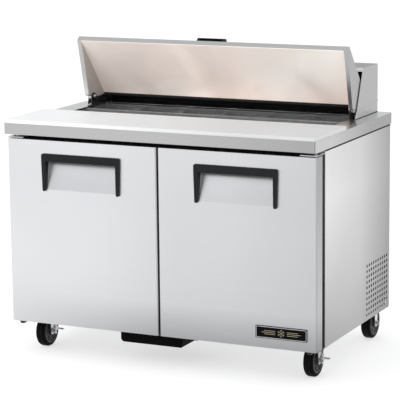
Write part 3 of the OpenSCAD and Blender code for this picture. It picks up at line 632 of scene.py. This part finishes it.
def tube_into(mesh, path, radius, segs):
    """A round bar swept along the path, with closed ends."""
    last = len(path) - 1
    tangents = [(path[min(i + 1, last)] - path[max(i - 1, 0)]).normalized()
                for i in range(len(path))]
    u = tangents[0].orthogonal().normalized()
    rings = []
    for middle, tangent in zip(path, tangents):
        u = (u - tangent * u.dot(tangent)).normalized()
        rings.append(circle(mesh, middle, u, tangent.cross(u), radius, segs))
    for a, b in zip(rings, rings[1:]):
        join_rings(mesh, a, b)
    mesh.faces.new(list(reversed(rings[0])))
    mesh.faces.new(rings[-1])


def rounded_path(corners, radius, steps=6):
    """Rounds the corners of a polyline."""
    path = [corners[0]]
    for a, b, c in zip(corners, corners[1:], corners[2:]):
        back, ahead = a - b, c - b
        reach = min(radius, back.length * 0.45, ahead.length * 0.45)
        start, end = b + back.normalized() * reach, b + ahead.normalized() * reach
        for i in range(steps + 1):
            t = i / steps
            path.append((1 - t) ** 2 * start + 2 * t * (1 - t) * b + t * t * end)
    path.append(corners[-1])
    return path


def screw_into(mesh, at, axis, size):
    """Pan-head screw with a round socket; size is (radius, height)."""
    r, h = size
    profile = [(0, 0), (r, 0), (r, h * 0.35), (r * 0.86, h * 0.78), (r * 0.55, h),
               (r * 0.38, h), (r * 0.34, h * 0.45), (0, h * 0.4)]
    lathe_into(mesh, profile, at, axis, 20)


# ------------------------------------------------------------------ nameplate
def nameplate_rim():
    inset, width, proud, sunk = 0.002, 0.0022, 0.0009, 0.001
    low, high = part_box("nameplate")
    left, right = low.x + inset, high.x - inset
    bottom, top = low.z + inset, high.z - inset
    # left, bottom, right and top of each bar
    bars = ((left, top - width, right, top), (left, bottom, right, bottom + width),
            (left, bottom, left + width, top), (right - width, bottom, right, top))
    mesh = bmesh.new()
    for x0, z0, x1, z1 in bars:
        box_into(mesh, (x0, low.y - proud, z0), (x1, low.y + sunk, z1), 0.0004, 1)
    add_piece("nameplate_rim", mesh, "rim", "door_right")


def nameplate_snowflake():
    """A six-armed flake with three short strokes on each side of it."""
    low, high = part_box("nameplate")
    centre = Vector(((low.x + high.x) / 2, low.y, (low.z + high.z) / 2))
    branch_root = centre + Vector((0, 0, 0.0085))
    mesh = bmesh.new()
    for k in range(6):
        arm_turn = Matrix.Rotation(math.radians(60 * k), 4, "Y")
        box_into(mesh, centre + Vector((-0.0007, -0.0008, 0.0015)),
                 centre + Vector((0.0007, 0.0006, 0.0135)), 0.0003, 1, arm_turn, centre)
        for sign in SIGNS:
            branch = box_into(mesh, branch_root + Vector((-0.0006, -0.0008, 0)),
                              branch_root + Vector((0.0006, 0.0006, 0.0050)), 0.0002, 1,
                              Matrix.Rotation(math.radians(50 * sign), 4, "Y"), branch_root)
            bmesh.ops.transform(mesh, matrix=arm_turn, verts=branch,
                                space=Matrix.Translation(-centre))
    stroke_gap, stroke_half = 0.022, 0.0008
    for sign in SIGNS:
        for rise, length in ((0.006, 0.042), (0.0, 0.052), (-0.006, 0.042)):
            start = centre.x + sign * stroke_gap
            x0, x1 = sorted((start, start + sign * length))
            z = centre.z + rise
            box_into(mesh, (x0, low.y - 0.0007, z - stroke_half),
                     (x1, low.y + 0.0006, z + stroke_half), 0.0003, 1)
    add_piece("nameplate_snowflake", mesh, "mark", "door_right")


# ------------------------------------------------------------------ casters
# Profiles are (radius, height) along the turning axis: from the wheel centre for the wheel
# and axle, from the floor for the cap and crown.
RIM_LINE = [(0.0425, 0.0174), (0.0442, 0.0185), (0.0456, 0.0180), (0.0456, 0.0160),
            (0.0425, 0.0120)]
WEB = [(0.0148, 0.0120), (0.0148, 0.0186), (0.0172, 0.0188), (0.0190, 0.0150),
       (0.0300, 0.0138), (0.0400, 0.0148), (0.0418, 0.0170), (0.0424, 0.0125)]
CASTER_CAP = [(0.0138, 0.1400), (0.0160, 0.1400), (0.0170, 0.1415), (0.0165, 0.1450),
              (0.0150, 0.1470), (0.0138, 0.1470)]
AXLE_NUT = [(0, 0.0288), (0.0078, 0.0288), (0.0078, 0.0324), (0.0066, 0.0336), (0, 0.0336)]
AXLE_END = [(0, 0.0320), (0.0040, 0.0320), (0.0040, 0.0362), (0.0032, 0.0370), (0, 0.0370)]
CROWN_RIM = [(0.0258, 0.1268), (0.0278, 0.1274), (0.0284, 0.1298), (0.0278, 0.1320),
             (0.0258, 0.1326)]


def wheel_rim_line(corner, centre):
    """Moulded line proud of the tread's inner edge, on both faces."""
    mesh = bmesh.new()
    for sign in SIGNS:
        ring_into(mesh, RIM_LINE, centre, (sign, 0, 0), 64)
    add_piece(f"wheel_rim_line_{corner}", mesh, "rim_line", f"wheel_{corner}",
              40)


def wheel_web(corner, centre):
    """Dished web with six spokes on both faces."""
    spoke_half = Vector((0.0028, 0.0014, 0.0098))
    spoke_radius, spoke_x = 0.029, 0.0130
    mesh = bmesh.new()
    for sign in SIGNS:
        ring_into(mesh, WEB, centre, (sign, 0, 0), 64)
        for k in range(6):
            angle = 2 * math.pi * k / 6
            middle = centre + Vector((sign * spoke_x, math.cos(angle) * spoke_radius,
                                      math.sin(angle) * spoke_radius))
            box_into(mesh, middle - spoke_half, middle + spoke_half, 0.0010, 2,
                     Matrix.Rotation(angle - math.pi / 2, 4, "X"), middle)
    add_piece(f"wheel_web_{corner}", mesh, "web", f"wheel_{corner}", 35)


def wheel_tread_lines(corner, centre):
    """Two faint moulding lines round the tread."""
    inner, outer = 0.0590, 0.06012
    mesh = bmesh.new()
    for x in (-0.0052, 0.0052):
        profile = [(inner, x - 0.0006), (outer, x - 0.0004), (outer, x + 0.0004),
                   (inner, x + 0.0006)]
        ring_into(mesh, profile, centre, (1, 0, 0), 96)
    add_piece(f"wheel_tread_lines_{corner}", mesh, "web", f"wheel_{corner}", 40)


def caster_cap(corner, swivel):
    """Collar over the swivel race."""
    mesh = bmesh.new()
    ring_into(mesh, CASTER_CAP, swivel, (0, 0, 1), 40)
    add_piece(f"caster_cap_{corner}", mesh, "black", f"caster_{corner}", 40)


def caster_nuts(corner, centre, swivel):
    """Axle nuts and crown rim."""
    mesh = bmesh.new()
    for sign in SIGNS:
        lathe_into(mesh, AXLE_NUT, centre, (sign, 0, 0), 6)
        lathe_into(mesh, AXLE_END, centre, (sign, 0, 0), 20)
    ring_into(mesh, CROWN_RIM, swivel, (0, 0, 1), 48)
    add_piece(f"caster_nuts_{corner}", mesh, "zinc_dark", f"caster_{corner}", 35)


def casters():
    for end, swivel_y in CASTER_SWIVEL_Y.items():
        for side, x in (("left", -CASTER_X), ("right", CASTER_X)):
            corner = f"{end}_{side}"
            centre = point(x, swivel_y + CASTER_TRAIL, WHEEL_Z)
            swivel = point(x, swivel_y, 0)
            wheel_rim_line(corner, centre)
            wheel_web(corner, centre)
            wheel_tread_lines(corner, centre)
            caster_cap(corner, swivel)
            caster_nuts(corner, centre, swivel)


def brake_ribs():
    """Three ribs across each front brake lever, and a round boss beside the wheel."""
    rib_pitch = 3.2
    boss = [(0, 0.0300), (0.0036, 0.0300), (0.0036, 0.0310), (0.0026, 0.0318), (0, 0.0320)]
    swivel_y = CASTER_SWIVEL_Y["front"]
    for side, x in (("left", -CASTER_X), ("right", CASTER_X)):
        mesh = bmesh.new()
        for k in range(3):
            y = swivel_y + k * rib_pitch
            box_into(mesh, point(x + 29.5, y + 76.4, 56.1), point(x + 41.2, y + 77.8, 57.7),
                     0.0004, 2)
        lathe_into(mesh, boss, point(x, swivel_y + 44, 67), (1, 0, 0), 20)
        add_piece(f"brake_tread_ribs_{side}", mesh, "zinc", f"brake_{side}", 35)


# ------------------------------------------------------------------ lid and hood
def lid_point(along, out, x):
    """A point of the closed lid carried to its open rest pose, from millimetres.

    along runs from the free edge up the closed slope, out is square to the slope and away
    from the counter.
    """
    slope, swing = math.radians(LID_SLOPE), math.radians(LID_SWING)
    y = LID_LIP_Y + along * math.cos(slope) - out * math.sin(slope) - LID_PIVOT_Y
    z = LID_LIP_Z + along * math.sin(slope) + out * math.cos(slope) - LID_PIVOT_Z
    return point(x, LID_PIVOT_Y + y * math.cos(swing) - z * math.sin(swing),
                 LID_PIVOT_Z + y * math.sin(swing) + z * math.cos(swing))


LID_ALONG = (lid_point(1000, 0, 0) - lid_point(0, 0, 0)).normalized()
LID_OUT = (lid_point(0, 1000, 0) - lid_point(0, 0, 0)).normalized()


def lid_bumpers():
    profile = [(0, -0.001), (0.0085, -0.001), (0.0085, 0.003), (0.0070, 0.0065),
               (0.004, 0.0075), (0, 0.0078)]
    mesh = bmesh.new()
    for x in (-505, 505):
        lathe_into(mesh, profile, lid_point(46, 23, x), LID_OUT, 24)
    add_piece("lid_bumpers", mesh, "seal", "lid", 40)


def lid_lower_seal():
    """Two black cords across the end that is lower when the lid is open."""
    mesh = bmesh.new()
    for along in (288, 296):
        ends = [lid_point(along, -3.4, x) for x in (-536, 536)]
        tube_into(mesh, ends, 0.0026, 10)
    add_piece("lid_lower_seal", mesh, "seal", "lid", 40)


def lid_hems():
    """Rolled hem along the lip and the cheeks' free edges."""
    mesh = bmesh.new()
    tube_into(mesh, [lid_point(2.2, -0.8, x) for x in (-537, 537)], 0.0018, 10)
    for x in (-537.5, 537.5):
        tube_into(mesh, [lid_point(along, -1.5, x) for along in (4, 292)], 0.0014, 8)
    add_piece("lid_hems", mesh, "lid_in", "lid", 40)


def lid_screws():
    mesh = bmesh.new()
    for x in (-500, -250, 250, 500):
        screw_into(mesh, lid_point(292, 22.8, x), LID_OUT, SHEET_SCREW)
    for x in (-34, 34):
        tilted = (LID_OUT + LID_ALONG * 0.9).normalized()
        screw_into(mesh, lid_point(30, 29.0, x), tilted, LIP_SCREW)
    add_piece("lid_screws", mesh, "rim", "lid", 35)


def hood_screws():
    mesh = bmesh.new()
    for sign in SIGNS:
        for y, z in ((366, 912), (366, 1030), (262, 888)):
            screw_into(mesh, point(sign * 557, y, z), (sign, 0, 0), HOOD_SIDE_SCREW)
    for x in range(-500, 501, 250):
        for z in (884, 1040):
            screw_into(mesh, point(x, 383, z), (0, 1, 0), SHEET_SCREW)
    add_piece("hood_screws", mesh, "rim", "cabinet", 35)


def hood_thumb_screws():
    """Thumb screws standing out of the rear, near both ends."""
    profile = [(0, 0), (0.0035, 0), (0.0035, 0.005), (0.0085, 0.006), (0.0085, 0.011),
               (0.0070, 0.0125), (0, 0.0128)]
    mesh = bmesh.new()
    for x in (-546, 546):
        lathe_into(mesh, profile, point(x, 383, 912), (0, 1, 0), 24)
    add_piece("hood_thumb_screws", mesh, "zinc_dark", "cabinet", 35)


def lid_pivot_caps():
    profile = [(0, -0.0005), (0.0078, -0.0005), (0.0078, 0.0030), (0.0060, 0.0052),
               (0.0030, 0.0058), (0.0026, 0.0040), (0, 0.0038)]
    mesh = bmesh.new()
    for sign in SIGNS:
        pivot = point(sign * LID_PIVOT_X, LID_PIVOT_Y, LID_PIVOT_Z)
        lathe_into(mesh, profile, pivot, (-sign, 0, 0), 24)
    add_piece("lid_pivot_caps", mesh, "rim", "cabinet", 35)


# ------------------------------------------------------------------ cabinet
def back_panel_screws():
    """Screws under the top hinge plates and round the back panel."""
    back_y = 376
    mesh = bmesh.new()
    for sign in SIGNS:
        for x in (556, 572):
            screw_into(mesh, point(sign * x, -320, 815), (0, 0, -1), HINGE_SCREW)
        for z in (560, 780):
            screw_into(mesh, point(sign * 601, back_y, z), (0, 1, 0), PANEL_SCREW)
    for x in range(-560, 561, 160):
        for z in (356, 816):
            screw_into(mesh, point(x, back_y, z), (0, 1, 0), PANEL_SCREW)
    add_piece("back_panel_screws", mesh, "rim", "cabinet", 35)


def grille_screws():
    mesh = bmesh.new()
    for x in (-590, -310, -30, 250, 590):
        for z in (172, 336):
            screw_into(mesh, point(x, 375, z), (0, 1, 0), PANEL_SCREW)
    add_piece("grille_screws", mesh, "rim", "condensing_unit", 35)


def grille_louvres():
    """Louvre blades bent out over each slot of the rear cover."""
    cover_left, first_column, column_pitch = -606.5, 58, 280
    first_row, row_pitch = 190, 18
    tilt = Matrix.Rotation(math.radians(-24), 4, "X")
    mesh = bmesh.new()
    for row in range(8):
        for column in range(4):
            x = cover_left + first_column + column * column_pitch
            z = first_row + row * row_pitch
            top = z + 14.5
            box_into(mesh, point(x + 2, 374.4, z + 6.0), point(x + 238, 375.8, top),
                     0.0005, 1, tilt, point(x, 375, top))
    add_piece("grille_louvres", mesh, "galv", "condensing_unit", 35)


def band_shadow_strip():
    """A black strip in the gap between the side panels and the worktop band, a painted shadow
    line.
    """
    mesh = bmesh.new()
    for sign in SIGNS:
        x0, x1 = sorted((sign * 610.2, sign * 611.6))
        box_into(mesh, point(x0, -286, 822.6), point(x1, 373.5, 829.9), 0.0004, 2)
    add_piece("band_shadow_strip", mesh, "seal", "cabinet", 40)


def handle_cheeks():
    """Black cheeks of the bezel turned in against the side walls of the finger recess."""
    near, far = 0.01705, 0.0184       # cheek faces in from the end of the handle
    # depth behind the door front, z
    outline = ((-0.0002, 0.7405), (0.0165, 0.7405), (0.0150, 0.7320), (0.0006, 0.6360),
               (-0.0002, 0.6360))
    for side in ("left", "right"):
        low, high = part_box(f"door_{side}_handle")
        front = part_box(f"door_{side}_skin")[0].y
        mesh = bmesh.new()
        for x0, x1 in ((low.x + near, low.x + far), (high.x - far, high.x - near)):
            a, b = ([mesh.verts.new((x, front + depth, z)) for depth, z in outline]
                    for x in (x0, x1))
            mesh.faces.new(a[::-1])
            mesh.faces.new(b)
            join_rings(mesh, a, b)
        add_piece(f"door_{side}_handle_cheeks", mesh, "handle", f"door_{side}",
                  40)


def vent_shade_screen():
    """Framed black screen a few millimetres inside the holes of the right side: painted shade
    of the bay behind the holes.
    """
    front, rear, bottom, top = 126, 359, 138.5, 343.5
    bar = 5
    # front, bottom, rear and top of each frame bar
    bars = ((front, bottom, rear, bottom + bar), (front, top - bar, rear, top),
            (front, bottom, front + bar, top), (rear - bar, bottom, rear, top))
    mesh = bmesh.new()
    box_into(mesh, point(601.4, 128, 140), point(602.2, 357, 342), 0.0002, 1)
    for y0, z0, y1, z1 in bars:
        box_into(mesh, point(600.6, y0, z0), point(603.0, y1, z1), 0.0006, 2)
    add_piece("side_vent_shade_screen", mesh, "screen", "cabinet", 40)


# ------------------------------------------------------------------ condensing unit
# x, y, z corners of the two lines between the compressor and the coil, mm
COPPER_RUNS = (
    ((292, 262, 236), (330, 262, 236), (352, 250, 236), (352, 176, 236), (400, 170, 290),
     (532, 150, 290)),
    ((292, 228, 216), (322, 228, 216), (340, 190, 200), (400, 168, 176), (534, 152, 190)),
)


def copper_lines():
    mesh = bmesh.new()
    for run in COPPER_RUNS:
        corners = [point(*corner) for corner in run]
        tube_into(mesh, rounded_path(corners, 0.03), 0.0048, 12)
    add_piece("copper_lines", mesh, "copper", "condensing_unit", 40)


def coil_return_bends():
    """Flattened half rings on the rear of the coil."""
    mesh = bmesh.new()
    for bottom, top in ((190, 225), (260, 290)):
        middle, radius = (bottom + top) / 2, (top - bottom) / 2
        path = []
        for k in range(11):
            angle = math.pi * k / 10
            path.append(point(538, 345 + math.sin(angle) * radius * 0.7,
                              middle + math.cos(angle) * radius))
        tube_into(mesh, path, 0.0049, 12)
    add_piece("coil_return_bends", mesh, "copper", "condensing_unit", 40)


for build in (nameplate_rim, nameplate_snowflake, casters, brake_ribs,
              lid_bumpers, lid_lower_seal, lid_hems, lid_screws,
              hood_screws, hood_thumb_screws, lid_pivot_caps,
              back_panel_screws, grille_screws, grille_louvres, band_shadow_strip, handle_cheeks,
              vent_shade_screen, copper_lines, coil_return_bends):
    build()


# ------------------------------------------------------------------ stage
def floor_material():
    m = Mat("pale_floor")
    cloud = m.noise(0.6, FINE)
    m.set(Base_Color=m.mix(cloud, (0.47, 0.47, 0.47), (0.49, 0.49, 0.49)), Roughness=0.8,
          Emission_Color=(1.0, 1.0, 1.0), Emission_Strength=0.60)
    # what polished steel sees of the floor: paler to the left, greyer near the object and
    # to the right, and greyer again far behind
    to_right = m.remap(m.place("X"), (-1.5, -0.1), to=(0.98, 0.74))
    nearer = m.remap(m.place("Y"), (-2.2, -0.7), to=(1.0, 0.86))
    front = m.times(to_right, nearer)
    back = m.remap(m.place("Y"), (0.9, 4.2), to=(1.0, 0.72))
    is_back = m.remap(m.place("Y"), (-0.2, 0.5))
    # float sockets of a Mix node are inputs 2 and 3
    strength = m.node("Mix", data_type="FLOAT")
    for index, value in ((0, is_back), (2, front), (3, back)):
        m.link(value, strength.inputs[index])
    glow = m.node("Emission")
    m.link(strength.outputs[0], glow.inputs["Strength"])
    rays = m.node("LightPath")
    choose = m.node("MixShader")
    m.link(rays.outputs["Is Glossy Ray"], choose.inputs[0])
    m.link(m.shader.outputs[0], choose.inputs[1])
    m.link(glow.outputs[0], choose.inputs[2])
    m.link(choose.outputs[0], m.tree.nodes["Material Output"].inputs["Surface"])
    return m.material


def floor():
    bpy.ops.mesh.primitive_plane_add(size=40, location=(0, 0, 0))
    plane = bpy.context.object
    plane.name = "floor"
    plane.data.materials.append(floor_material())


def world():
    studio = bpy.data.worlds.new("studio")
    bpy.context.scene.world = studio
    studio.use_nodes = True
    nodes, links = studio.node_tree.nodes, studio.node_tree.links
    background = nodes["Background"]
    background.inputs[0].default_value = (0.98, 0.99, 1.0, 1)
    rays = nodes.new("ShaderNodeLightPath")
    # strength for all other rays, and for glossy ones
    strength = nodes.new("ShaderNodeMapRange")
    strength.inputs["To Min"].default_value = 0.95
    strength.inputs["To Max"].default_value = 0.78
    links.new(rays.outputs["Is Glossy Ray"], strength.inputs["Value"])
    # the camera sees the same white above the floor's far edge as on the floor
    camera_lift = nodes.new("ShaderNodeMath")
    camera_lift.operation = "MULTIPLY_ADD"
    camera_lift.inputs[1].default_value = 0.25
    links.new(rays.outputs["Is Camera Ray"], camera_lift.inputs[0])
    links.new(strength.outputs["Result"], camera_lift.inputs[2])
    links.new(camera_lift.outputs[0], background.inputs[1])


def softbox(name, location, size, power):
    """A white rectangular light aimed at the middle of the cabinet."""
    light = bpy.data.lights.new(name, "AREA")
    light.shape = "RECTANGLE"
    light.size, light.size_y = size
    light.energy = power
    light.color = (1, 1, 1)
    lamp = bpy.data.objects.new(name, light)
    bpy.context.scene.collection.objects.link(lamp)
    lamp.location = location
    aim = Vector((0, 0, 0.6)) - Vector(location)
    lamp.rotation_euler = aim.to_track_quat("-Z", "Y").to_euler()


def camera():
    """A long lens in front and to the right, looking slightly down."""
    heading, dip, roll = math.radians(25.26), math.radians(10.69), math.radians(-0.59)
    view = Vector((-math.sin(heading) * math.cos(dip), math.cos(heading) * math.cos(dip),
                   -math.sin(dip)))
    level_right = Vector((math.cos(heading), math.sin(heading), 0))
    level_up = level_right.cross(view)
    right = math.cos(roll) * level_right + math.sin(roll) * level_up
    up = -math.sin(roll) * level_right + math.cos(roll) * level_up
    pose = Matrix((right, up, -view)).transposed().to_4x4()
    pose.translation = Vector((2.9870, -6.3382 - ORIGIN_Y / 1000.0, 1.8825))
    lens = bpy.data.cameras.new("view")
    lens.sensor_width = 36.0
    lens.lens = 171.95
    lens.clip_end = 60
    viewer = bpy.data.objects.new("view", lens)
    bpy.context.scene.collection.objects.link(viewer)
    viewer.matrix_world = pose
    bpy.context.scene.camera = viewer


floor()
world()
softbox("key_softbox", location=(-2.2, -4.2, 3.6), size=(3.5, 3.0), power=60)
softbox("fill_right", location=(4.5, -2.0, 2.4), size=(2.5, 2.5), power=12)
camera()
bpy.context.scene.view_settings.view_transform = "Standard"
